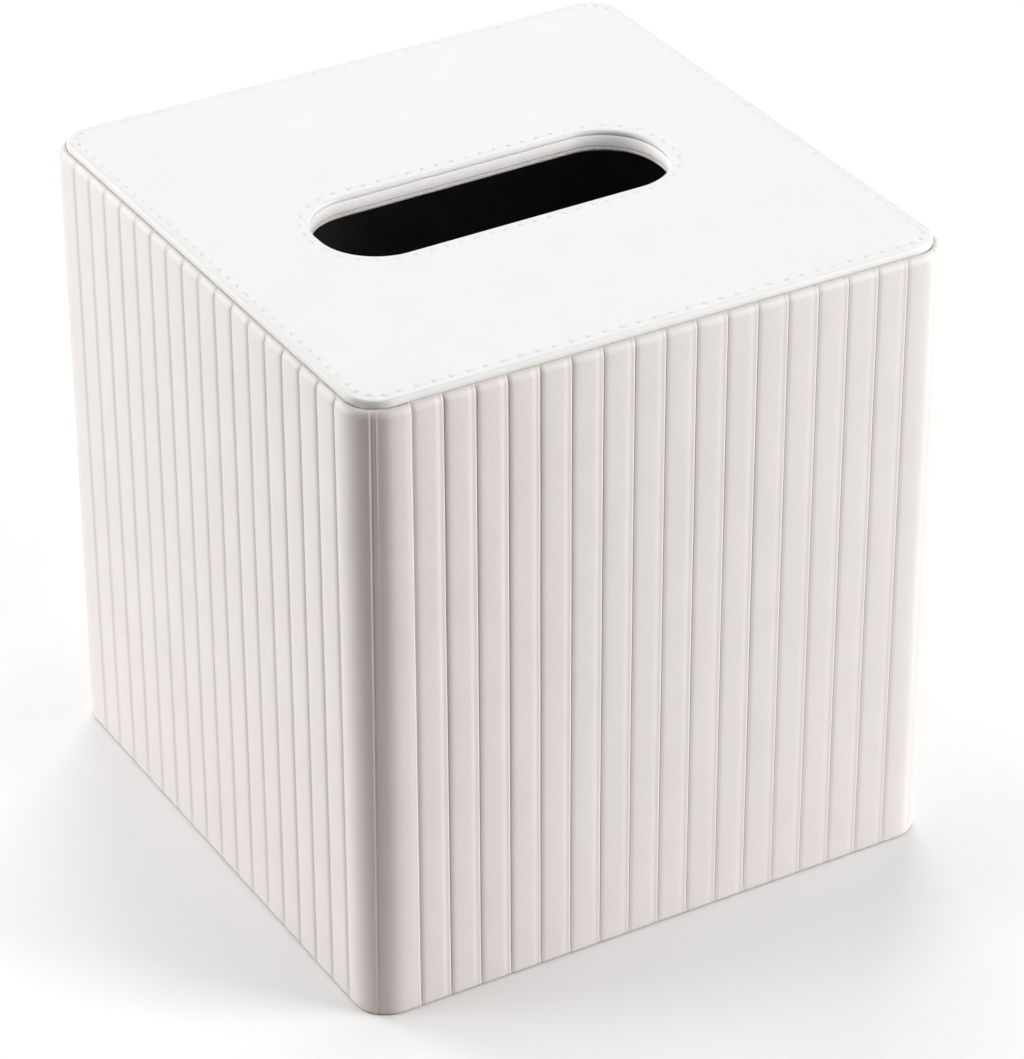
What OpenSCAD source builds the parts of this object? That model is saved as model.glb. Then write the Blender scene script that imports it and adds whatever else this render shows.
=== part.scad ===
// Square tissue box cover, open at the base, with a ribbed padded wrap and a stitched slotted top.
// The origin is at the middle of the base, on the surface that the cover stands on. Millimetres, +Z up.

/* [Overall] */
// Width of the cover across the ribs, side to side
body_w = 135; // [125:1:180]
// Depth of the cover across the ribs, front to back
body_d = 135; // [125:1:180]
// Height of the cover with its top panel
body_h = 142; // [110:1:180]
// Radius of the upright corners at the crest of the ribs
corner_r = 7.5; // [6:0.5:12]

/* [Ribbed wrap] */
// Thickness of the padded wrap at the crest of a rib
wrap_t = 3.5; // [3:0.1:4.5]
// Width of one rib from groove to groove
rib_w = 7; // [5:0.1:10]
// Depth of the groove between two ribs
groove_d = 0.9; // [0.5:0.1:1.2]
// Radius of a rib's shoulder
shoulder_r = 1.2; // [1.2:0.1:1.6]
// Width left open at the bottom of a groove
slit_w = 0.16; // [0.1:0.02:0.4]
// Depth below the crest at which the wrap keeps its cut length as it turns a corner
neutral_d = 2.5; // [1.5:0.1:3]
// Plain stretch from the lap seam to the first groove of the front
plain_front = 7.9; // [6:0.1:12]
// Plain stretch from the last groove of the left side to the lap seam
plain_left = 6.5; // [6:0.1:12]
// Radius of the ribs' upper end, where they curve in under the top panel
crest_r = 2.2; // [1.5:0.1:2.6]
// Radius of the wrap's lower edge
base_r = 0.7; // [0.3:0.1:1.2]
// Thickness of the wrap where it is skived and turned in
turn_t = 0.6; // [0.4:0.1:1]
// Width turned in over the top board
top_turn = 8; // [6:1:8]
// Height turned up inside at the base
hem_h = 12; // [8:1:20]
// Width of the lip of the lap seam
lap_w = 0.5; // [0.3:0.1:1]
// Height of the lip of the lap seam
lap_h = 0.25; // [0.1:0.05:0.4]

/* [Boards] */
// Thickness of the side boards and the top board
board_t = 2.5; // [2:0.1:3]
// Thickness of the card under the top board
ceiling_t = 1.2; // [0.8:0.1:2]
// Thickness of the black lining
lining_t = 0.5; // [0.3:0.1:0.8]
// Clearance round the card and the lining under the top
ceiling_gap = 0.2; // [0.1:0.05:0.4]

/* [Top panel] */
// Thickness of the stitched top panel
panel_t = 2; // [1.8:0.1:3]
// Step from the crest of the ribs in to the edge of the panel
panel_inset = 1.4; // [1:0.1:2]
// Corner radius of the panel
panel_r = 7.2; // [5:0.1:10]
// Thickness of the panel's leather
leather_t = 0.8; // [0.6:0.1:1]
// Radius of the rolled upper edge of the panel and of the slot
rim_r = 1.1; // [1:0.1:1.3]
// Radius of the rolled lower edge of the panel and of the slot
foot_r = 0.4; // [0.2:0.1:0.5]

/* [Slot] */
// Length of the slot, side to side
slot_l = 77; // [60:1:82]
// Width of the slot, front to back
slot_w = 28; // [26:1:40]
// Corner radius of the slot
slot_r = 12; // [5:0.5:12]
// Place of the slot's middle to the right of the cover's middle
slot_x = -1.6; // [-3:0.1:3]
// Place of the slot's middle behind the cover's middle
slot_y = -1.1; // [-3:0.1:3]
// Thickness of the leather that lines the slot
band_t = 0.6; // [0.4:0.1:1]
// Width of the slot lining's flange on the top board
flange_w = 6; // [4:1:6]

/* [Hidden] */
$fn = 64;
past = 1;
seat_z = body_h - panel_t;
board_top_z = seat_z - turn_t;
board_low_z = board_top_z - board_t;
card_low_z = board_low_z - ceiling_t;
lining_low_z = card_low_z - lining_t;
board_in = wrap_t + board_t;
hem_in = board_in + turn_t;
lining_in = board_in + lining_t;
panel_w = body_w - 2 * panel_inset;
panel_d = body_d - 2 * panel_inset;

// The path of the ribs starts at the lap seam, in the middle of the front left corner, and goes
// along the front, the right, the back and the left, each side after the corner before it.
turn_r = corner_r - neutral_d;
turn_l = turn_r * PI / 2;
flat_x = body_w - 2 * corner_r;
flat_y = body_d - 2 * corner_r;
path_l = 2 * (flat_x + flat_y) + 4 * turn_l;
run_l = path_l - plain_front - plain_left;
rib_count = round(run_l / rib_w);
rib_pitch = run_l / rib_count;

function along(a) = [cos(a), sin(a)];
function unit_l(k) = turn_l + (k % 2 == 0 ? flat_x : flat_y);
function unit_start(k) = k == 0 ? 0 : unit_start(k - 1) + unit_l(k - 1);
function unit_at(s, k = 0) = k >= 3 || s < unit_start(k + 1) ? k : unit_at(s, k + 1);
function corner_at(k) = [(k == 1 || k == 2 ? 1 : -1) * flat_x / 2, (k >= 2 ? 1 : -1) * flat_y / 2];
function facing(t, k) = 180 + 90 * k + 90 * min(t / turn_l, 1);
function on_path(t, k) = corner_at(k) + corner_r * along(facing(t, k))
    + max(t - turn_l, 0) * along(facing(t, k) + 90);

// Flat outlines
module round_rect(w, d, r) {
    square([w - 2 * r, d], center = true);
    square([w, d - 2 * r], center = true);
    for (x = [-1, 1], y = [-1, 1])
        translate([x * (w / 2 - r), y * (d / 2 - r)]) circle(r);
}

module body_outline(inset) {
    round_rect(body_w - 2 * inset, body_d - 2 * inset, corner_r - inset);
}

module inner_outline(inset) {
    square([body_w - 2 * inset, body_d - 2 * inset], center = true);
}

module slot_outline(out) {
    translate([slot_x, slot_y]) round_rect(slot_l + 2 * out, slot_w + 2 * out, slot_r + out);
}

// A flat profile swept round a rounded rectangle. Its x counts outwards from the outline.
module sweep_round(w, d, r) {
    for (k = [0:3]) {
        half_out = (k % 2 == 0 ? w : d) / 2;
        half_side = (k % 2 == 0 ? d : w) / 2 - r;
        rotate(90 * k) {
            translate([half_out, half_side, 0]) rotate([90, 0, 0])
                linear_extrude(2 * half_side) children();
            translate([half_out - r, half_side, 0]) rotate_extrude(angle = 90)
                translate([r, 0]) children();
        }
    }
}

// What a round edge of radius r leaves outside itself, with the edge's corner at the origin
module edge_waste(r) {
    difference() {
        translate([-r, -r]) square(r + past);
        translate([-r, -r]) circle(r);
        translate([-r, -r - past]) square([past + r, past]);
    }
}

module groove() {
    reach = shoulder_r + slit_w / 2;
    difference() {
        translate([-groove_d, -reach]) square([groove_d + past, 2 * reach]);
        for (y = [-1, 1]) {
            translate([-shoulder_r, y * reach]) circle(shoulder_r);
        }
    }
}

module wrap_section() {
    difference() {
        union() {
            body_outline(0);
            translate(on_path(turn_l / 2, 0)) rotate(facing(turn_l / 2, 0))
                translate([-wrap_t / 2, -lap_w / 2]) square([wrap_t / 2 + lap_h, lap_w]);
        }
        body_outline(wrap_t);
        for (i = [0:rib_count]) {
            s = plain_front + turn_l / 2 + i * rib_pitch;
            k = unit_at(s);
            t = s - unit_start(k);
            translate(on_path(t, k)) rotate(facing(t, k)) groove();
        }
    }
}

// The wrap: ribbed outside, turned in over the top board, turned under and up at the base
module side_wrap() {
    color("whitesmoke") {
        difference() {
            linear_extrude(seat_z) wrap_section();
            translate([0, 0, seat_z]) sweep_round(body_w, body_d, corner_r) edge_waste(crest_r);
            mirror([0, 0, 1]) sweep_round(body_w, body_d, corner_r) edge_waste(base_r);
        }
        translate([0, 0, board_top_z]) linear_extrude(turn_t) difference() {
            body_outline(wrap_t);
            inner_outline(wrap_t + top_turn);
        }
        linear_extrude(turn_t) difference() {
            body_outline(wrap_t);
            inner_outline(hem_in);
        }
        linear_extrude(hem_h) difference() {
            inner_outline(board_in);
            inner_outline(hem_in);
        }
    }
}

// The four side boards stand on the turned leather and butt at the corners
module board_blank() {
    translate([0, 0, turn_t]) linear_extrude(board_low_z - turn_t) difference() {
        body_outline(wrap_t);
        inner_outline(board_in);
    }
}

module cross_board(side) {
    color("tan") intersection() {
        board_blank();
        translate([-body_w / 2, side * (body_d - wrap_t - board_in) / 2 - board_t / 2, 0])
            cube([body_w, board_t, body_h]);
    }
}

module end_board(side) {
    color("tan") intersection() {
        board_blank();
        translate([side * (body_w - board_in) / 2 - board_in / 2, -body_d / 2 + board_in, 0])
            cube([board_in, body_d - 2 * board_in, body_h]);
    }
}

module front_board() { cross_board(-1); }
module back_board() { cross_board(1); }
module left_board() { end_board(-1); }
module right_board() { end_board(1); }

module top_board() {
    color("tan") translate([0, 0, board_low_z]) linear_extrude(board_t) difference() {
        body_outline(wrap_t);
        slot_outline(band_t);
    }
}

// The leather that lines the slot's wall, with a flange glued on the top board
module slot_band() {
    color("mistyrose") {
        translate([0, 0, board_low_z]) linear_extrude(board_t) difference() {
            slot_outline(band_t);
            slot_outline(0);
        }
        translate([0, 0, board_top_z]) linear_extrude(turn_t) difference() {
            slot_outline(flange_w);
            slot_outline(0);
        }
    }
}

module top_card() {
    color("burlywood") translate([0, 0, seat_z]) linear_extrude(panel_t - leather_t) difference() {
        round_rect(panel_w - 2 * leather_t, panel_d - 2 * leather_t, panel_r - leather_t);
        slot_outline(leather_t);
    }
}

// One rolled rim of the panel in section, with its outer face at x = 0 and its foot at y = 0
module rim_section() {
    difference() {
        translate([-rim_r, 0]) square([rim_r, panel_t]);
        translate([-rim_r - past, -past]) square([rim_r - leather_t + past, panel_t - leather_t + past]);
        translate([0, panel_t]) edge_waste(rim_r);
        mirror([0, 1]) edge_waste(foot_r);
    }
}

module top_leather() {
    color("white") {
        translate([0, 0, body_h - leather_t]) linear_extrude(leather_t) difference() {
            round_rect(panel_w - 2 * rim_r, panel_d - 2 * rim_r, panel_r - rim_r);
            slot_outline(rim_r);
        }
        translate([0, 0, seat_z]) sweep_round(panel_w, panel_d, panel_r) rim_section();
        translate([slot_x, slot_y, seat_z]) sweep_round(slot_l, slot_w, slot_r)
            mirror([1, 0]) rim_section();
    }
}

// The card and the black lining under the top board
module ceiling_sheet(low, high) {
    translate([0, 0, low]) linear_extrude(high - low) difference() {
        inner_outline(board_in + ceiling_gap);
        slot_outline(0);
    }
}

module ceiling_card() {
    color("rosybrown") ceiling_sheet(card_low_z, board_low_z);
}

module top_lining() {
    color("black") ceiling_sheet(lining_low_z, card_low_z);
}

module wall_lining() {
    color("black") translate([0, 0, hem_h]) linear_extrude(lining_low_z - hem_h) difference() {
        inner_outline(board_in);
        inner_outline(lining_in);
    }
}

side_wrap();
front_board();
back_board();
left_board();
right_board();
top_board();
slot_band();
top_card();
top_leather();
ceiling_card();
top_lining();
wall_lining();
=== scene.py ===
import math
import bpy
import bmesh
from mathutils import Matrix, Vector, noise


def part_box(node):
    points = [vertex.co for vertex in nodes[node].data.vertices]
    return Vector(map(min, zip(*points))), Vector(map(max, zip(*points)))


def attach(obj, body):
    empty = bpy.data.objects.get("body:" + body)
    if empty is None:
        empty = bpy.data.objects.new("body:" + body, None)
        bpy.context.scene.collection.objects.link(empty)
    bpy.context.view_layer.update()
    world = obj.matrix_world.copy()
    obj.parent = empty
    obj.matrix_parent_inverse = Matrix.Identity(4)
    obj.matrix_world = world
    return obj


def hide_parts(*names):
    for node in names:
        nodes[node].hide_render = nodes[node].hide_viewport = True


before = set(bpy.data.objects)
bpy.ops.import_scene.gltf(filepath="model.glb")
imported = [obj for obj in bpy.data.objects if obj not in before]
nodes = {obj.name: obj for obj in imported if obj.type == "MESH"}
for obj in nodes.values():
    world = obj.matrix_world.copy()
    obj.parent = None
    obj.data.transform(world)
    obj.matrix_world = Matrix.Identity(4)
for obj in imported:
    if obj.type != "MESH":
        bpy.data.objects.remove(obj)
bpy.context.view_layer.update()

# Sizes in metres, as the frame holds them
MM = 0.001
wrap_low, wrap_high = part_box("side_wrap")
panel_low, panel_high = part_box("top_leather")
board_low, board_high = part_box("top_board")
ceiling_low, ceiling_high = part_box("ceiling_card")
lining_low, lining_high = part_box("wall_lining")

BODY_HALF_X = wrap_high[0]
BODY_HALF_Y = wrap_high[1]
SEAT_Z = wrap_high[2]
TOP_Z = panel_high[2]
PANEL_HALF_X = panel_high[0]
PANEL_HALF_Y = panel_high[1]
BOARD_TOP_Z = board_high[2]
BOARD_LOW_Z = board_low[2]
CARD_LOW_Z = ceiling_low[2]
HEM_Z = lining_low[2]
WRAP_T = BODY_HALF_X - board_high[0]
BOARD_IN = BODY_HALF_X - lining_high[0]
TURN_T = SEAT_Z - BOARD_TOP_Z

# The ribbed wrap
SEAM_Z = SEAT_Z + 0.33 * MM
CORNER_R = 7.5 * MM
NEUTRAL_D = 2.5 * MM
RIB_W = 7.0 * MM
PLAIN_FRONT = 7.9 * MM
PLAIN_LEFT = 6.5 * MM
GROOVE_D = 0.59 * MM
SLIT_W = 0.05 * MM
SOFT_SIDE = (2.135 * MM, 2.3, 2.64)
FIRM_SIDE = (0.95 * MM, 4.0, 1.9)
LEDGE_D = 0.25 * MM
LEDGE_AT = 1.48 * MM
LEDGE_RUN = 0.46 * MM
LIP_H = 0.014 * MM
LIP_AT = 0.78 * MM
LIP_W = 0.12 * MM
CREST_IN = 1.3 * MM
CREST_H = 1.9 * MM
CREST_OVER = 0.33 * MM
SWELL_H = 0.5 * MM
BASE_R = 0.45 * MM
BASE_FADE = 2.2 * MM
HEM_R = 0.3 * MM
TOP_TURN = 3.0 * MM

# The stitched top panel
PANEL_R = 7.2 * MM
LEATHER_T = 0.8 * MM
RIM_IN = 0.65 * MM
RIM_DROP = 0.12 * MM
FOOT_IN = 0.27 * MM
FOOT_H = 0.75 * MM
STITCH_IN = 2.1 * MM
STITCH_PITCH = 3.65 * MM
STITCH_FILL = 0.72
STITCH_DEEP = 0.035 * MM
STITCH_W = 0.4 * MM
STITCH_H = 0.16 * MM
HOLE_D = 0.23 * MM
HOLE_L = 0.45 * MM
HOLE_W = 0.34 * MM
PUCKER = 0.03 * MM
FLAT_DROP = 0.03 * MM
RIM_TONE_H = 0.7 * MM

# The slot, and how far below the rim its band and its card end
SLOT_L = 79.4 * MM
SLOT_W = 27.1 * MM
SLOT_R = 12.6 * MM
SLOT_MIDDLE = Vector((-1.2 * MM, -2.25 * MM))
SLOT_TURN = 0.8
SLOT_FOOT_Z = SEAT_Z + 0.6 * MM
BAND_T = 0.6 * MM
FLANGE_W = 6.0 * MM
BAND_END = 2.4 * MM
CARD_START = 2.5 * MM
CARD_END = 3.25 * MM
RECESS = 3.7 * MM
SHEET_CORNER_R = 0.4 * MM

# The camera's place in metres and its aim in degrees, for a picture of 1024 by 1059 pixels
FRAME_H = 1059
FOCAL_PX = 4579
SENSOR = 36.0
CAMERA_PLACE = Vector((-0.4110, -0.7171, 0.5661))
CAMERA_YAW = 30.09
CAMERA_PITCH = 31.47
CAMERA_ROLL = -0.22


# Outlines
class RoundPath:
    """A rounded rectangle walked from the middle of its front left corner, front side first."""

    def __init__(self, half_x, half_y, radius, neutral=0.0, middle=(0.0, 0.0), turned=0.0):
        self.radius = radius
        self.spin = Matrix.Rotation(math.radians(turned), 2)
        self.turn = (radius - neutral) * math.pi / 2
        self.flat = [2 * (half_x - radius), 2 * (half_y - radius)]
        self.length = 2 * sum(self.flat) + 4 * self.turn
        self.middle = Vector(middle)

    def at(self, s):
        """The point at the distance s along the path, and the way out there."""
        s = (s + self.turn / 2) % self.length
        k = 0
        while k < 3 and s >= self.turn + self.flat[k % 2]:
            s -= self.turn + self.flat[k % 2]
            k += 1
        angle = math.radians(180 + 90 * k + 90 * min(s / self.turn, 1))
        out = Vector((math.cos(angle), math.sin(angle)))
        ahead = Vector((-out.y, out.x))
        corner = Vector((self.flat[0] / 2 if k in (1, 2) else -self.flat[0] / 2,
                         self.flat[1] / 2 if k >= 2 else -self.flat[1] / 2))
        place = corner + out * self.radius + ahead * max(s - self.turn, 0)
        return self.middle + self.spin @ place, self.spin @ out


def quarter(radius, steps, rising):
    """Steps round a quarter circle as (height, inset) pairs, both from 0 to the radius."""
    pairs = []
    for i in range(steps + 1):
        a = math.pi / 2 * i / steps
        if rising:
            pairs.append((radius * math.sin(a), radius * (1 - math.cos(a))))
        else:
            pairs.append((radius * (1 - math.cos(a)), radius * (1 - math.sin(a))))
    return pairs


# Mesh helpers
def closed_ring(bm, count, layer, shape):
    verts = [bm.verts.new(shape(i)) for i in range(count)]
    for i, v in enumerate(verts):
        v[layer] = i
    return [bm.edges.new((verts[i - 1], v)) for i, v in enumerate(verts)]


def next_ring(bm, edges, layer, shape):
    """Extrudes a ring and puts each new vertex where shape says for its number."""
    made = bmesh.ops.extrude_edge_only(bm, edges=edges)["geom"]
    for v in made:
        if isinstance(v, bmesh.types.BMVert):
            v.co = shape(v[layer])
    return [e for e in made if isinstance(e, bmesh.types.BMEdge) and len(e.link_faces) == 1]


def finish_mesh(bm, name, sharp=40):
    bmesh.ops.remove_doubles(bm, verts=bm.verts, dist=0.000001)
    bmesh.ops.recalc_face_normals(bm, faces=bm.faces)
    for f in bm.faces:
        f.smooth = True
    mesh = bpy.data.meshes.new(name)
    bm.to_mesh(mesh)
    bm.free()
    mesh.set_sharp_from_angle(angle=math.radians(sharp))
    piece = bpy.data.objects.new(name, mesh)
    bpy.context.scene.collection.objects.link(piece)
    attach(piece, "root")
    return piece


def swept_rings(name, path_stations, rings, sharp=40, fields=()):
    """One closed skin made of rings, each a function from a station's number to a place.

    Each field is the name of a vertex attribute and its function of a station's number.
    """
    bm = bmesh.new()
    layer = bm.verts.layers.int.new("place")
    edges = closed_ring(bm, path_stations, layer, rings[0])
    for shape in rings[1:] + [rings[0]]:
        edges = next_ring(bm, edges, layer, shape)
    for title, value in fields:
        field = bm.verts.layers.float.new(title)
        values = [value(i) for i in range(path_stations)]
        layer = bm.verts.layers.int["place"]
        for v in bm.verts:
            v[field] = values[v[layer]]
    return finish_mesh(bm, name, sharp)


# The ribbed wrap
wrap_path = RoundPath(BODY_HALF_X, BODY_HALF_Y, CORNER_R, NEUTRAL_D)
rib_run = wrap_path.length - PLAIN_FRONT - PLAIN_LEFT
rib_count = round(rib_run / RIB_W)
rib_pitch = rib_run / rib_count
grooves = [PLAIN_FRONT + i * rib_pitch for i in range(rib_count + 1)]


def side_curve(distance, side, depth):
    """Depth on one side of a groove: a side is its width and the two powers of its curve."""
    width, p, q = side
    t = 1 - max(distance - SLIT_W, 0) / width
    if t <= 0:
        return 0.0
    return depth * (1 - (1 - min(t, 1) ** p) ** (1 / q))


def groove_depth(distance, creased, lip):
    """Depth of the wrap's surface below its crest, at a signed distance from a groove's middle."""
    if distance >= 0 or not creased:
        return side_curve(abs(distance), SOFT_SIDE, GROOVE_D)
    before = -distance
    ledge = LEDGE_D / 2 * (1 + math.tanh((LEDGE_AT - before) / LEDGE_RUN))
    raised = lip * LIP_H * math.exp(-((before - LIP_AT) / LIP_W) ** 2)
    return ledge + side_curve(before, FIRM_SIDE, GROOVE_D - LEDGE_D) - raised


def wrap_stations():
    """Places along the wrap, each with its distance from the nearest groove and if it is creased."""
    after = [0.0, 0.03, 0.07, 0.13, 0.22, 0.34, 0.5, 0.72, 1.0, 1.4, 1.9]
    before = [0.03, 0.07, 0.13, 0.22, 0.34, 0.48, 0.6, 0.7, 0.78, 0.87, 1.0, 1.2, 1.45, 1.7, 2.0, 2.4]
    stations = []
    for g in grooves:
        creased = PLAIN_FRONT < g < wrap_path.length / 2
        for u in after:
            stations.append((g + u * MM, u * MM, creased))
        for u in before if creased else after[1:]:
            stations.append((g - u * MM, -u * MM, creased))
        if g != grooves[-1]:
            stations.append((g + rib_pitch / 2, rib_pitch / 2, creased))
    seam = [0.04, 0.1, 0.16, 0.22, 0.3, 0.45, 0.65, 0.8, 0.88, 0.95, 1.02, 1.1, 1.3, 1.8, 2.6, 3.6, 4.8]
    for u in seam:
        stations.append((u * MM, PLAIN_FRONT, True))
    for u in (0.0, 0.05, 0.1, 0.16, 0.25, 0.45, 0.8, 1.4, 2.2, 3.2):
        stations.append(((wrap_path.length - u * MM) % wrap_path.length, PLAIN_LEFT, False))
    return sorted(stations)


stations = wrap_stations()


def seam_height(s, z):
    """The lap seam: the left end of the strip ends in a low rounded step over the front end."""
    past = (s if s < wrap_path.length / 2 else s - wrap_path.length) / MM
    if abs(past) > 6:
        return 0.0
    step = 0.075 * (1 - math.tanh(past / 0.07)) * math.exp(-(min(past, 0) / 2.5) ** 2)
    crevice = 0.05 * math.exp(-((past - 0.22) / 0.07) ** 2)
    upper = min(max((z / SEAT_Z - 0.72) / 0.15, 0), 1)
    second = 0.05 * upper * math.exp(-((past - 0.95) / 0.08) ** 2)
    return (step - crevice + second) * MM


def swelling(s, z):
    """The padding is pressed thin at the lap seam and swells up to the first groove, most at the top."""
    past = (s if s < wrap_path.length / 2 else s - wrap_path.length) / MM
    if past > PLAIN_FRONT / MM or past < -8:
        return 0.0
    upper = min(0.15 + 1.1 * z / SEAT_Z, 1)
    if past < 1.2:
        return -0.4 * SWELL_H * upper * math.exp(-((past - 1.2) / 3) ** 2)
    bend = min((past - 1.2) / 2.3, 1)
    rise = min(max((past - 3) / 3.6, 0), 1)
    bend = 0.75 * bend * bend * (3 - 2 * bend)
    rise = 0.25 * rise * rise * (3 - 2 * rise)
    return SWELL_H * upper * (bend + rise - 0.4)


def relief(s):
    """How full the grooves are cut: deepest near the lap seam, shallower further along a side."""
    if s < wrap_path.length / 2:
        away = min(s, 130 * MM) / (130 * MM)
        return 0.2 + 0.8 * math.exp(-2.8 * away)
    away = min(wrap_path.length - s, 110 * MM) / (110 * MM)
    return 0.72 - 0.4 * away


def groove_shade(i):
    """1 on both shoulders of a groove and 0 away from it, for a painted shade there."""
    return math.exp(-((abs(stations[i][1]) - 0.55 * MM) / (0.35 * MM)) ** 2)


def warmth(i):
    """1 round the lap seam and less over the first ribs of the front, for a warmer tone there."""
    s = stations[i][0]
    past = (s if s < wrap_path.length / 2 else s - wrap_path.length) / MM
    if past < 0:
        return min(max((past + 4.5) / 2.5, 0), 1)
    if past < 8:
        return 1 - 0.6 * min(max(past - 2.5, 0) / 2.5, 1)
    return 0.4 * min(max((46 - past) / 20, 0), 1)


def unevenness(s, z, seed):
    return noise.noise(Vector((s / (9 * MM), z / (26 * MM), seed)))


def wrap_place(i, z, inset, ribbed=1.0):
    s, from_groove, creased = stations[i]
    lean = 0.0
    past = s if s < wrap_path.length / 2 else s - wrap_path.length
    if abs(past) < 5 * MM:
        lean = (0.1 + 0.7 * z / SEAT_Z) * MM * math.exp(-(past / (2.5 * MM)) ** 2)
    crest, out = wrap_path.at(s + lean)
    depth = 0.0
    if ribbed:
        rib = round((s - PLAIN_FRONT - from_groove) / rib_pitch) * 3.7
        lip = max(0.0, 2.6 * noise.noise(Vector((rib, 0.4, 8.1))) + unevenness(s * 3, z, 5.5))
        depth = groove_depth(from_groove, creased, lip) * relief(s)
        depth *= 1 + 0.3 * noise.noise(Vector((rib, 0.4, 2.6)))
        depth *= 1 + 0.1 * unevenness(s, z, 3.1)
        depth *= min(0.8 + 0.2 * z / (100 * MM), 1) * min(0.25 + 0.75 * z / BASE_FADE, 1)
        depth -= seam_height(s, z) + swelling(s, z)
        depth += 0.03 * MM * (1 + unevenness(s, z, 7.7))
    p = crest - out * (inset + depth * ribbed)
    if ribbed:
        ahead = Vector((-out.y, out.x))
        p += ahead * 0.04 * MM * noise.noise(Vector((rib, z / (18 * MM), 1.3)))
    return Vector((p.x, p.y, z))


def make_side_wrap():
    rings = []

    def ring(z, inset, ribbed=1.0):
        rings.append(lambda i, z=z, inset=inset, ribbed=ribbed: wrap_place(i, z, inset, ribbed))

    for rise, inset in quarter(BASE_R, 4, False):
        ring(rise, inset)
    ring(BASE_FADE, 0.0)
    straight = 21
    first_z = BASE_R
    last_z = SEAT_Z + CREST_OVER - CREST_H
    for k in range(1, straight):
        ring(first_z + (last_z - first_z) * k / straight, 0.0)
    for rise, inset in quarter(1.0, 9, True):
        ring(last_z + CREST_H * rise, CREST_IN * inset, 1 - 0.35 * rise ** 2)
    foot = BODY_HALF_X - PANEL_HALF_X
    ring(SEAT_Z + 0.6 * CREST_OVER, foot - 0.06 * MM, 0)
    ring(SEAT_Z, foot, 0)
    inner = WRAP_T + TOP_TURN
    ring(SEAT_Z, inner, 0)
    ring(BOARD_TOP_Z, inner, 0)
    ring(BOARD_TOP_Z, WRAP_T, 0)
    ring(TURN_T, WRAP_T, 0)
    ring(TURN_T, BOARD_IN, 0)
    ring(HEM_Z, BOARD_IN, 0)
    ring(HEM_Z, BOARD_IN + TURN_T, 0)
    ring(HEM_R, BOARD_IN + TURN_T, 0)
    ring(0.0, BOARD_IN + TURN_T - HEM_R, 0)
    fields = (("groove_shade", groove_shade), ("warmth", warmth))
    piece = swept_rings("ribbed_wrap", len(stations), rings, 55, fields)
    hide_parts("side_wrap")
    return piece


# The stitched top panel
panel_path = RoundPath(PANEL_HALF_X, PANEL_HALF_Y, PANEL_R)
slot_path = RoundPath(SLOT_L / 2, SLOT_W / 2, SLOT_R, middle=SLOT_MIDDLE, turned=SLOT_TURN)
PANEL_POINTS = 1560
SHEET_POINTS = 390


def ring_length(path, inset):
    return path.length - 2 * math.pi * inset


def stitch_count(path, inset):
    return round(ring_length(path, inset) / STITCH_PITCH)


outer_stitches = stitch_count(panel_path, STITCH_IN)
slot_stitches = stitch_count(slot_path, -STITCH_IN)


def stitched_z(path, stitches, i, inset):
    """Height of the panel's face near a row of stitches: it falls to the rim and to each hole."""
    phase = (i / PANEL_POINTS * stitches) % 1
    from_hole = min(phase, 1 - phase) * ring_length(path, 0) / stitches
    across = (inset - STITCH_IN) / HOLE_W
    hole = HOLE_D * math.exp(-across ** 2 - (from_hole / HOLE_L) ** 2)
    pulled = math.exp(-((inset - 1.7 * MM) / (0.9 * MM)) ** 2) * math.cos(2 * math.pi * phase)
    fall = RIM_DROP * math.exp(-((inset - RIM_IN) / (1.1 * MM)) ** 2)
    return TOP_Z - FLAT_DROP - fall - hole - PUCKER * pulled


def panel_place(i, inset, z):
    edge, out = panel_path.at(panel_path.length * i / PANEL_POINTS)
    p = edge - out * inset
    return Vector((p.x, p.y, z))


def slot_place(i, inset, z):
    """The slot's rings count their inset from the slot's wall into the leather."""
    edge, out = slot_path.at(slot_path.length * i / PANEL_POINTS)
    p = edge + out * inset
    return Vector((p.x, p.y, z))


def rim_rings(place, path, stitches, foot_z):
    """Rings from a rim's inner foot, round its rolled edge and over its stitches."""
    rings = [lambda i: place(i, LEATHER_T, foot_z)]
    foot_h = min(FOOT_H, 0.4 * (TOP_Z - foot_z))
    for rise, inset in quarter(1.0, 4, False):
        z = foot_z + foot_h * rise
        rings.append(lambda i, z=z, inset=inset: place(i, FOOT_IN * inset, z))
    low = foot_z + foot_h
    high = TOP_Z - FLAT_DROP - RIM_DROP
    for rise, inset in quarter(1.0, 7, True)[1:]:
        z = low + (high - low) * rise
        rings.append(lambda i, z=z, inset=inset: place(i, RIM_IN * inset, z))
    for inset in (0.85, 1.15, 1.5, 1.75, 1.9, 2.02, 2.13, 2.25, 2.38, 2.6, 3.0, 3.7, 4.6):
        t = inset * MM
        rings.append(lambda i, t=t: place(i, t, stitched_z(path, stitches, i, t)))
    return rings


def make_top_panel():
    outer = rim_rings(panel_place, panel_path, outer_stitches, SEAT_Z)
    inner = rim_rings(slot_place, slot_path, slot_stitches, SLOT_FOOT_Z)
    rings = outer + inner[::-1]
    under_z = TOP_Z - LEATHER_T
    rings.append(lambda i: slot_place(i, LEATHER_T, under_z))
    rings.append(lambda i: panel_place(i, LEATHER_T, under_z))
    piece = swept_rings("stitched_top", PANEL_POINTS, rings, 60)
    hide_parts("top_leather")
    return piece


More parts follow.
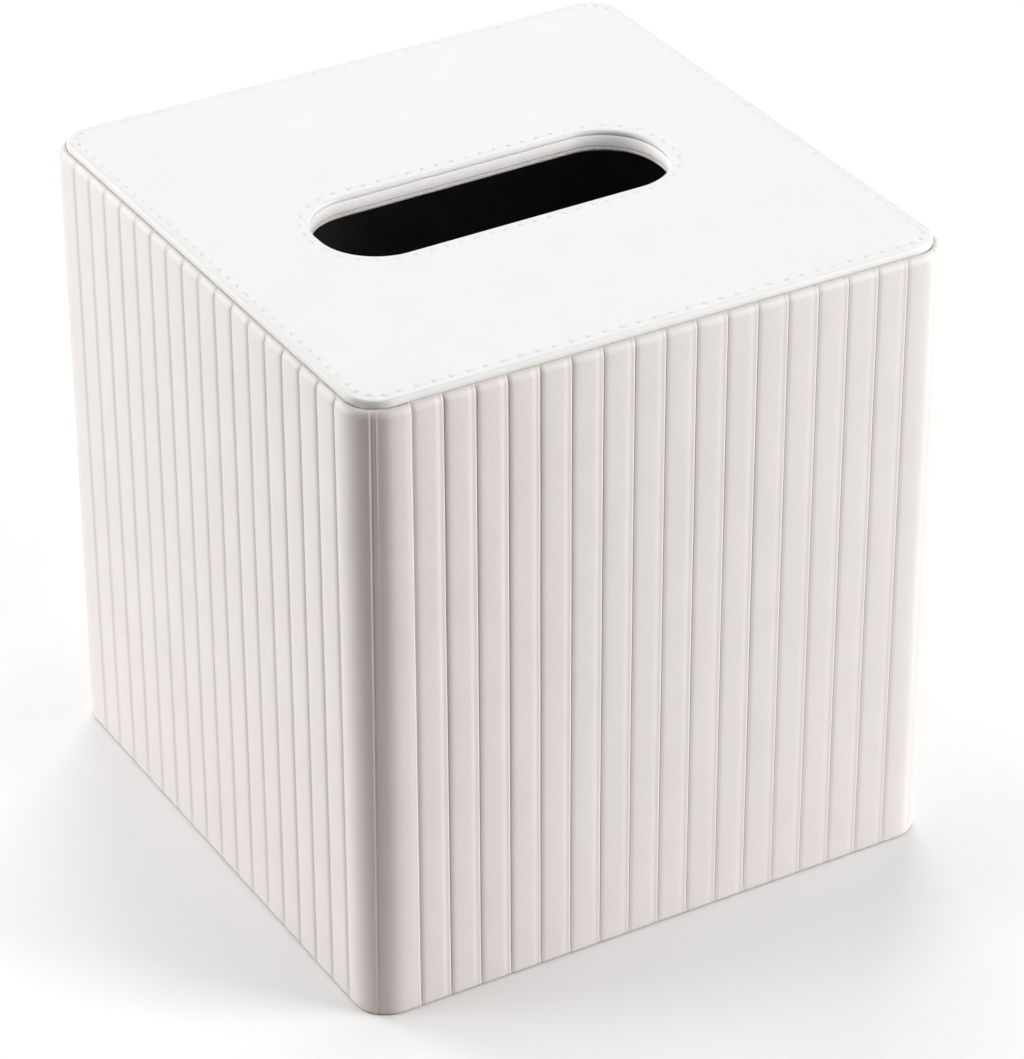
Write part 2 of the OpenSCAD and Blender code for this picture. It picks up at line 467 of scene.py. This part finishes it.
def add_stitch(bm, middle, ahead, length):
    """One stitch of thread: a short rounded bar that dips at both ends."""
    made = bmesh.ops.create_uvsphere(bm, u_segments=8, v_segments=8, radius=0.5)["verts"]
    turn = Matrix(((ahead.x, -ahead.y, 0, 0), (ahead.y, ahead.x, 0, 0), (0, 0, 1, 0), (0, 0, 0, 1)))
    lay = Matrix.Rotation(math.radians(90), 4, "Y")
    size = Matrix.Diagonal((length, STITCH_W, STITCH_H, 1))
    bmesh.ops.transform(bm, verts=made, matrix=Matrix.Translation(middle) @ turn @ size @ lay)


def make_stitches():
    bm = bmesh.new()
    z = TOP_Z - FLAT_DROP - STITCH_DEEP
    for path, stitches, inset in ((panel_path, outer_stitches, STITCH_IN),
                                  (slot_path, slot_stitches, -STITCH_IN)):
        pitch = ring_length(path, inset) / stitches
        for k in range(stitches):
            edge, out = path.at(path.length * (k + 0.5) / stitches)
            p = edge - out * inset
            add_stitch(bm, Vector((p.x, p.y, z)), Vector((-out.y, out.x)), STITCH_FILL * pitch)
    piece = finish_mesh(bm, "stitching", 60)
    return piece


# The slot's wall: a leather band over the edge of the top board, a card and the lining's lip
def rough_place(i, inset, z, rough, seed, points):
    edge, out = slot_path.at(slot_path.length * i / points)
    edge += out * inset
    p = Vector((edge.x, edge.y, z))
    coarse = noise.noise(Vector((p.x / (1.6 * MM), p.y / (1.6 * MM), seed)))
    fine = noise.noise(Vector((p.x / (0.45 * MM), p.y / (0.45 * MM), seed + 3)))
    return p + Vector((0, 0, rough * (0.6 * coarse + 0.6 * fine)))


def slot_rings(profile, outer_path=None, points=PANEL_POINTS):
    """Rings from (inset, height, roughness) points: an inset of None lies on the outer path."""
    rings = []
    for inset, z, rough in profile:
        if inset is None:
            rings.append(lambda i, z=z: sheet_place(i, z, outer_path, points))
        else:
            rings.append(lambda i, inset=inset, z=z, rough=rough:
                         rough_place(i, inset, z, rough, 4.0, points))
    return rings


def sheet_place(i, z, path, points):
    edge, out = path.at(path.length * i / points)
    return Vector((edge.x, edge.y, z))


def make_slot_band():
    edge_r = 0.22 * MM
    low = SLOT_FOOT_Z - BAND_END
    rough = 0.07 * MM
    profile = [
        (BAND_T, low + 0.02 * MM, 0),
        (edge_r, low + 0.02 * MM, rough),
        (0.3 * edge_r, low + 0.4 * edge_r, rough),
        (0.0, low + edge_r, rough),
        (0.0, SLOT_FOOT_Z - edge_r, 0),
        (0.3 * edge_r, SLOT_FOOT_Z - 0.3 * edge_r, 0),
        (edge_r, SLOT_FOOT_Z, 0),
        (BAND_T, SLOT_FOOT_Z, 0),
        (BAND_T, SEAT_Z, 0),
        (FLANGE_W, SEAT_Z, 0),
        (FLANGE_W, BOARD_TOP_Z, 0),
        (BAND_T, BOARD_TOP_Z, 0),
    ]
    piece = swept_rings("slot_lining_band", PANEL_POINTS, slot_rings(profile), 60)
    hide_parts("slot_band")
    return piece


def make_slot_card():
    """The card under the top board. Its edge comes up a little in front of the board's edge."""
    path = RoundPath(ceiling_high[0], ceiling_high[1], SHEET_CORNER_R)
    high = SLOT_FOOT_Z - CARD_START
    low = SLOT_FOOT_Z - CARD_END
    rough = 0.07 * MM
    profile = [
        (BAND_T, high, 0),
        (0.12 * MM, high, rough),
        (0.03 * MM, high - 0.1 * MM, rough),
        (0.03 * MM, low + 0.1 * MM, rough),
        (0.12 * MM, low, rough),
        (RECESS, low, 0),
        (RECESS, CARD_LOW_Z, 0),
        (None, CARD_LOW_Z, 0),
        (None, BOARD_LOW_Z, 0),
        (BAND_T, BOARD_LOW_Z, 0),
    ]
    piece = swept_rings("slot_card", PANEL_POINTS, slot_rings(profile, path), 40)
    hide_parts("ceiling_card")
    return piece


def make_sheet(name, node, inset, corner):
    """A sheet under the leather top, as wide and as thick as its solid, with the slot's opening."""
    low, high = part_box(node)
    path = RoundPath(high[0], high[1], corner)
    profile = [
        (inset, low[2], 0),
        (inset, high[2], 0),
        (None, high[2], 0),
        (None, low[2], 0),
    ]
    piece = swept_rings(name, SHEET_POINTS, slot_rings(profile, path, SHEET_POINTS), 40)
    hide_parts(node)
    return piece


# Materials
def new_material(name):
    material = bpy.data.materials.new(name)
    material.use_nodes = True
    tree = material.node_tree
    shader = tree.nodes["Principled BSDF"]
    coords = tree.nodes.new("ShaderNodeTexCoord")
    return material, tree, shader, coords.outputs["Object"]


def noise_field(tree, coords, size, detail=2.0, roughness=0.5):
    node = tree.nodes.new("ShaderNodeTexNoise")
    node.inputs["Scale"].default_value = 1 / size
    node.inputs["Detail"].default_value = detail
    node.inputs["Roughness"].default_value = roughness
    tree.links.new(coords, node.inputs["Vector"])
    return node.outputs["Fac"]


def cell_field(tree, coords, size):
    node = tree.nodes.new("ShaderNodeTexVoronoi")
    node.feature = "F1"
    node.inputs["Scale"].default_value = 1 / size
    node.inputs["Randomness"].default_value = 1.0
    tree.links.new(coords, node.inputs["Vector"])
    return node.outputs["Distance"]


def mapped(tree, value, low, high, from_low=0.0, from_high=1.0):
    node = tree.nodes.new("ShaderNodeMapRange")
    node.inputs["From Min"].default_value = from_low
    node.inputs["From Max"].default_value = from_high
    node.inputs["To Min"].default_value = low
    node.inputs["To Max"].default_value = high
    tree.links.new(value, node.inputs["Value"])
    return node.outputs["Result"]


def blended(tree, factor, dark, light):
    node = tree.nodes.new("ShaderNodeMix")
    node.data_type = "RGBA"
    node.inputs["A"].default_value = (*dark, 1)
    node.inputs["B"].default_value = (*light, 1)
    tree.links.new(factor, node.inputs["Factor"])
    return node.outputs["Result"]


def bumped(tree, height, depth, after=None):
    node = tree.nodes.new("ShaderNodeBump")
    node.inputs["Strength"].default_value = 1.0
    node.inputs["Distance"].default_value = depth
    tree.links.new(height, node.inputs["Height"])
    if after is not None:
        tree.links.new(after, node.inputs["Normal"])
    return node.outputs["Normal"]


def leather(name, dark, light, grain=0.45 * MM, grain_depth=0.012 * MM, rough=(0.42, 0.56)):
    """Smooth imitation leather: close pebbled grain, pores, and a slow change of tone."""
    material, tree, shader, coords = new_material(name)
    tone = noise_field(tree, coords, 14 * MM, 3)
    tree.links.new(blended(tree, mapped(tree, tone, 0, 1, 0.3, 0.7), dark, light),
                   shader.inputs["Base Color"])
    patches = noise_field(tree, coords, 3 * MM, 4)
    tree.links.new(mapped(tree, patches, rough[0], rough[1], 0.3, 0.7), shader.inputs["Roughness"])
    pebbles = bumped(tree, cell_field(tree, coords, grain), grain_depth)
    pores = bumped(tree, noise_field(tree, coords, 0.16 * MM, 3, 0.7), 0.4 * grain_depth, pebbles)
    folds = bumped(tree, noise_field(tree, coords, 5 * MM, 2), 0.05 * MM, pores)
    tree.links.new(folds, shader.inputs["Normal"])
    shader.inputs["Specular IOR Level"].default_value = 0.4
    return material


def tinted(material, amount, tint):
    """Multiplies a material's colour by a tint, by an amount from 0 to 1."""
    tree = material.node_tree
    colour = tree.nodes["Principled BSDF"].inputs["Base Color"]
    node = tree.nodes.new("ShaderNodeMix")
    node.data_type = "RGBA"
    node.blend_type = "MULTIPLY"
    tree.links.new(amount, node.inputs["Factor"])
    tree.links.new(colour.links[0].from_socket, node.inputs["A"])
    node.inputs["B"].default_value = (*tint, 1)
    tree.links.new(node.outputs["Result"], colour)


def field_value(material, title):
    node = material.node_tree.nodes.new("ShaderNodeAttribute")
    node.attribute_name = title
    return node.outputs["Fac"]


def axis_value(material, axis):
    tree = material.node_tree
    node = tree.nodes.new("ShaderNodeSeparateXYZ")
    tree.links.new(tree.nodes["Texture Coordinate"].outputs["Object"], node.inputs["Vector"])
    return node.outputs[axis]


def both(material, first, second):
    """The product of two amounts."""
    tree = material.node_tree
    node = tree.nodes.new("ShaderNodeMath")
    node.operation = "MULTIPLY"
    tree.links.new(first, node.inputs[0])
    tree.links.new(second, node.inputs[1])
    return node.outputs["Value"]


def near_side(material, axis, half, low):
    """1 close to the two sides that face along an axis and 0 further in."""
    tree = material.node_tree
    node = tree.nodes.new("ShaderNodeMath")
    node.operation = "ABSOLUTE"
    tree.links.new(axis_value(material, axis), node.inputs[0])
    return mapped(tree, node.outputs["Value"], 0, 1, half - low, half - low + 0.5 * MM)


def paint_shade_at_seam_and_foot(leather_of_top, leather_of_ribs):
    """Paints shade into the leather's colour: where the ribs and the top's rim meet, on the front rim
    and crest, over the tops of the left ribs, and a painted contact shadow along the wrap's foot.
    """
    # Painted shade in the crease where the top's rim and the ribs' crest meet.
    for material, low, full, tint in ((leather_of_top, SEAM_Z + 0.3 * MM, SEAM_Z, (0.92, 0.91, 0.905)),
                                      (leather_of_ribs, SEAM_Z - 0.1 * MM, SEAM_Z, (0.95, 0.945, 0.94))):
        tinted(material, mapped(material.node_tree, axis_value(material, "Z"), 0, 1, low, full), tint)
    # Painted shade on the lower part of the top's rim along the front.
    z = axis_value(leather_of_top, "Z")
    by_height = mapped(leather_of_top.node_tree, z, 0, 1, SEAM_Z + 1.1 * MM, SEAM_Z)
    front = near_side(leather_of_top, "Y", PANEL_HALF_Y, 1.0 * MM)
    tinted(leather_of_top, both(leather_of_top, by_height, front), (0.95, 0.947, 0.944))
    # Painted shade on the ribs' crest along the front, just under the seam.
    z = axis_value(leather_of_ribs, "Z")
    by_height = mapped(leather_of_ribs.node_tree, z, 0, 1, SEAM_Z - 0.45 * MM, SEAM_Z)
    front = near_side(leather_of_ribs, "Y", BODY_HALF_Y, 1.8 * MM)
    tinted(leather_of_ribs, both(leather_of_ribs, by_height, front), (0.97, 0.967, 0.965))
    # Painted shade over the rounded tops of the left ribs, to dim their highlights.
    by_height = mapped(leather_of_ribs.node_tree, z, 0, 1, SEAM_Z - 2.0 * MM, SEAM_Z - 1.2 * MM)
    left = near_side(leather_of_ribs, "X", BODY_HALF_X, 1.8 * MM)
    tinted(leather_of_ribs, both(leather_of_ribs, by_height, left), (0.94, 0.94, 0.94))
    # Painted contact shadow along the lowest part of the wrap, at the floor.
    foot = mapped(leather_of_ribs.node_tree, z, 0, 1, 0.7 * MM, 0.25 * MM)
    tinted(leather_of_ribs, foot, (0.66, 0.64, 0.63))


def warm_rim(material, dark, light):
    """Turns a leather a little warmer and darker below the flat top, on its rolled rims."""
    tree = material.node_tree
    shader = tree.nodes["Principled BSDF"]
    plain = shader.inputs["Base Color"].links[0].from_socket
    coords = tree.nodes["Texture Coordinate"].outputs["Object"]
    rim = blended(tree, noise_field(tree, coords, 14 * MM, 3), dark, light)
    up = mapped(tree, axis_value(material, "Z"), 0, 1, TOP_Z - RIM_TONE_H, TOP_Z - 8 * FLAT_DROP)
    mix = tree.nodes.new("ShaderNodeMix")
    mix.data_type = "RGBA"
    tree.links.new(up, mix.inputs["Factor"])
    tree.links.new(rim, mix.inputs["A"])
    tree.links.new(plain, mix.inputs["B"])
    tree.links.new(mix.outputs["Result"], shader.inputs["Base Color"])


def fibrous(name, dark, light, size, depth, rough):
    """Raw board, card, thread or cloth: a fibrous, matte surface."""
    material, tree, shader, coords = new_material(name)
    tone = noise_field(tree, coords, size, 5, 0.65)
    tree.links.new(blended(tree, mapped(tree, tone, 0, 1, 0.3, 0.7), dark, light),
                   shader.inputs["Base Color"])
    tree.links.new(bumped(tree, noise_field(tree, coords, size / 4, 4, 0.7), depth),
                   shader.inputs["Normal"])
    tree.links.new(mapped(tree, tone, rough - 0.06, rough + 0.06, 0.3, 0.7),
                   shader.inputs["Roughness"])
    shader.inputs["Specular IOR Level"].default_value = 0.25
    return material


def put_on(material, *pieces):
    for piece in pieces:
        piece.data.materials.clear()
        piece.data.materials.append(material)


ribbed_leather = leather("ribbed_leather", (0.802, 0.76, 0.735), (0.827, 0.785, 0.76))
smooth_leather = leather("smooth_leather", (0.892, 0.892, 0.889), (0.913, 0.913, 0.91),
                         grain_depth=0.006 * MM)
warm_rim(smooth_leather, (0.845, 0.833, 0.815), (0.88, 0.868, 0.85))
paint_shade_at_seam_and_foot(smooth_leather, ribbed_leather)
# Painted shade on the shoulders of each groove.
tinted(ribbed_leather, field_value(ribbed_leather, "groove_shade"), (0.88, 0.87, 0.86))
tinted(ribbed_leather, field_value(ribbed_leather, "warmth"), (1.0, 0.947, 0.94))
# Painted shade on the top's rolled rim along its left side, where the lamps light it too brightly.
left_rim_shade = both(smooth_leather, near_side(smooth_leather, "X", PANEL_HALF_X, 1.6 * MM),
                mapped(smooth_leather.node_tree, axis_value(smooth_leather, "Z"), 0, 1,
                       TOP_Z - 2 * FLAT_DROP, TOP_Z - 10 * FLAT_DROP))
tinted(smooth_leather, left_rim_shade, (0.87, 0.867, 0.861))
band_leather = leather("band_leather", (0.83, 0.81, 0.80), (0.86, 0.838, 0.828), rough=(0.55, 0.7))
thread = fibrous("thread", (0.93, 0.93, 0.92), (0.97, 0.97, 0.96), 0.3 * MM, 0.02 * MM, 0.6)
grey_board = fibrous("grey_board", (0.45, 0.40, 0.34), (0.58, 0.52, 0.45), 1.2 * MM, 0.03 * MM, 0.8)
card_edge = fibrous("card_edge", (0.54, 0.51, 0.5), (0.78, 0.735, 0.725), 0.5 * MM, 0.05 * MM, 0.8)
# The lining is black; its colour is lifted to a grey as painted light, standing in for the little light
# that reaches inside the cover.
black_lining = fibrous("black_lining", (0.25, 0.25, 0.25), (0.28, 0.28, 0.28),
                       0.6 * MM, 0.02 * MM, 0.85)

side_wrap = make_side_wrap()
top_panel = make_top_panel()
stitching = make_stitches()
slot_band = make_slot_band()
slot_card = make_slot_card()
lining_sheet = make_sheet("lining_sheet", "top_lining", RECESS, SHEET_CORNER_R)
board_sheet = make_sheet("board_sheet", "top_board", BAND_T, CORNER_R - WRAP_T)
card_sheet = make_sheet("card_sheet", "top_card", LEATHER_T, PANEL_R - LEATHER_T)
put_on(ribbed_leather, side_wrap)
put_on(smooth_leather, top_panel)
put_on(thread, stitching)
put_on(band_leather, slot_band)
put_on(card_edge, slot_card)
put_on(black_lining, lining_sheet, nodes["wall_lining"])
put_on(grey_board, board_sheet, card_sheet, nodes["front_board"], nodes["back_board"],
       nodes["left_board"], nodes["right_board"])


# The floor: pale where it is seen, with a painted shadow close round the cover, and darker in the light
# that it throws back
FLOOR_PAINTED_SHADOW = (0.9, 0.9, 0.9)
FLOOR_FAR = (0.975, 0.975, 0.975)
BOUNCE_NEAR = (0.38, 0.355, 0.35)
BOUNCE_FAR = (0.1, 0.1, 0.1)


def make_floor():
    bm = bmesh.new()
    bmesh.ops.create_grid(bm, x_segments=1, y_segments=1, size=4.0)
    mesh = bpy.data.meshes.new("floor")
    bm.to_mesh(mesh)
    bm.free()
    floor = bpy.data.objects.new("floor", mesh)
    bpy.context.scene.collection.objects.link(floor)
    material, tree, shader, coords = new_material("white_sweep")
    apart = tree.nodes.new("ShaderNodeVectorMath")
    apart.operation = "LENGTH"
    tree.links.new(coords, apart.inputs[0])
    # Painted shadow: the seen floor is darker within 0.08 m of the cover's middle, fading out by 0.12 m.
    away = mapped(tree, apart.outputs["Value"], 0, 1, 0.08, 0.12)
    pale = blended(tree, away, FLOOR_PAINTED_SHADOW, FLOOR_FAR)
    path = tree.nodes.new("ShaderNodeLightPath")
    seen = path.outputs["Is Camera Ray"]
    for other in ("Is Glossy Ray", "Is Transmission Ray"):
        either = tree.nodes.new("ShaderNodeMath")
        either.operation = "MAXIMUM"
        tree.links.new(seen, either.inputs[0])
        tree.links.new(path.outputs[other], either.inputs[1])
        seen = either.outputs[0]
    split = tree.nodes.new("ShaderNodeMix")
    split.data_type = "RGBA"
    far = mapped(tree, apart.outputs["Value"], 0, 1, 0.12, 0.36)
    tree.links.new(blended(tree, far, BOUNCE_NEAR, BOUNCE_FAR), split.inputs["A"])
    tree.links.new(pale, split.inputs["B"])
    tree.links.new(seen, split.inputs["Factor"])
    tree.links.new(split.outputs["Result"], shader.inputs["Base Color"])
    shader.inputs["Roughness"].default_value = 0.9
    shader.inputs["Specular IOR Level"].default_value = 0.0
    put_on(material, floor)
    return floor


make_floor()


# The camera
def make_camera():
    yaw, pitch, roll = (math.radians(a) for a in (CAMERA_YAW, CAMERA_PITCH, CAMERA_ROLL))
    ahead = Vector((math.sin(yaw) * math.cos(pitch), math.cos(yaw) * math.cos(pitch), -math.sin(pitch)))
    right = Vector((math.cos(yaw), -math.sin(yaw), 0))
    up = right.cross(ahead)
    turned_right = right * math.cos(roll) + up * math.sin(roll)
    turned_up = up * math.cos(roll) - right * math.sin(roll)
    data = bpy.data.cameras.new("camera")
    data.sensor_width = SENSOR
    data.lens = FOCAL_PX * SENSOR / FRAME_H
    camera = bpy.data.objects.new("camera", data)
    bpy.context.scene.collection.objects.link(camera)
    axes = Matrix((turned_right, turned_up, -ahead)).transposed().to_4x4()
    camera.matrix_world = Matrix.Translation(CAMERA_PLACE) @ axes
    bpy.context.scene.camera = camera


make_camera()


# The light
def area_light(name, azimuth, elevation, distance, size, power):
    """A square lamp, aimed at the cover's middle. Azimuth counts from +X towards +Y."""
    a, e = math.radians(azimuth), math.radians(elevation)
    aim = Vector((0, 0, SEAT_Z / 2))
    place = aim + distance * Vector((math.cos(a) * math.cos(e), math.sin(a) * math.cos(e), math.sin(e)))
    data = bpy.data.lights.new(name, "AREA")
    data.shape = "SQUARE"
    data.size = size
    data.energy = power
    lamp = bpy.data.objects.new(name, data)
    bpy.context.scene.collection.objects.link(lamp)
    turn = (aim - place).to_track_quat("-Z", "Y").to_matrix().to_4x4()
    lamp.matrix_world = Matrix.Translation(place) @ turn
    return lamp


# Name, azimuth, elevation, distance, size and power of each lamp
LAMPS = (
    ("left_low_1", 145, 7, 1.3, 0.6, 2.4),
    ("left_low_2", 155, 7, 1.3, 0.6, 7.1),
    ("left_high_1", 120, 22, 1.3, 0.6, 8.6),
    ("left_high_2", 160, 22, 1.3, 0.6, 3.7),
    ("right_low_1", 300, 7, 1.3, 0.6, 4.0),
    ("right_low_2", 330, 7, 1.3, 0.6, 8.2),
    ("right_high", 315, 22, 1.3, 0.6, 10.4),
    ("rear_high", 59, 41, 2.0, 0.9, 12.6),
    ("overhead", 90, 88, 2.0, 0.9, 8.9),
)
SLOT_FILL = ("slot_fill", 208, 26, 1.3, 0.6, 6.0)
for lamp in LAMPS:
    area_light(*lamp)

# One more lamp, for the slot's wall only, where the others leave its right end dark
slot_wall = bpy.data.collections.new("slot_wall")
slot_wall.objects.link(slot_band)
slot_wall.objects.link(slot_card)
slot_fill = area_light(*SLOT_FILL)
slot_fill.light_linking.receiver_collection = slot_wall

world = bpy.data.worlds.new("studio")
world.use_nodes = True
world.node_tree.nodes["Background"].inputs["Color"].default_value = (1, 1, 1, 1)
world.node_tree.nodes["Background"].inputs["Strength"].default_value = 0.0
bpy.context.scene.world = world
bpy.context.scene.view_settings.view_transform = "Standard"
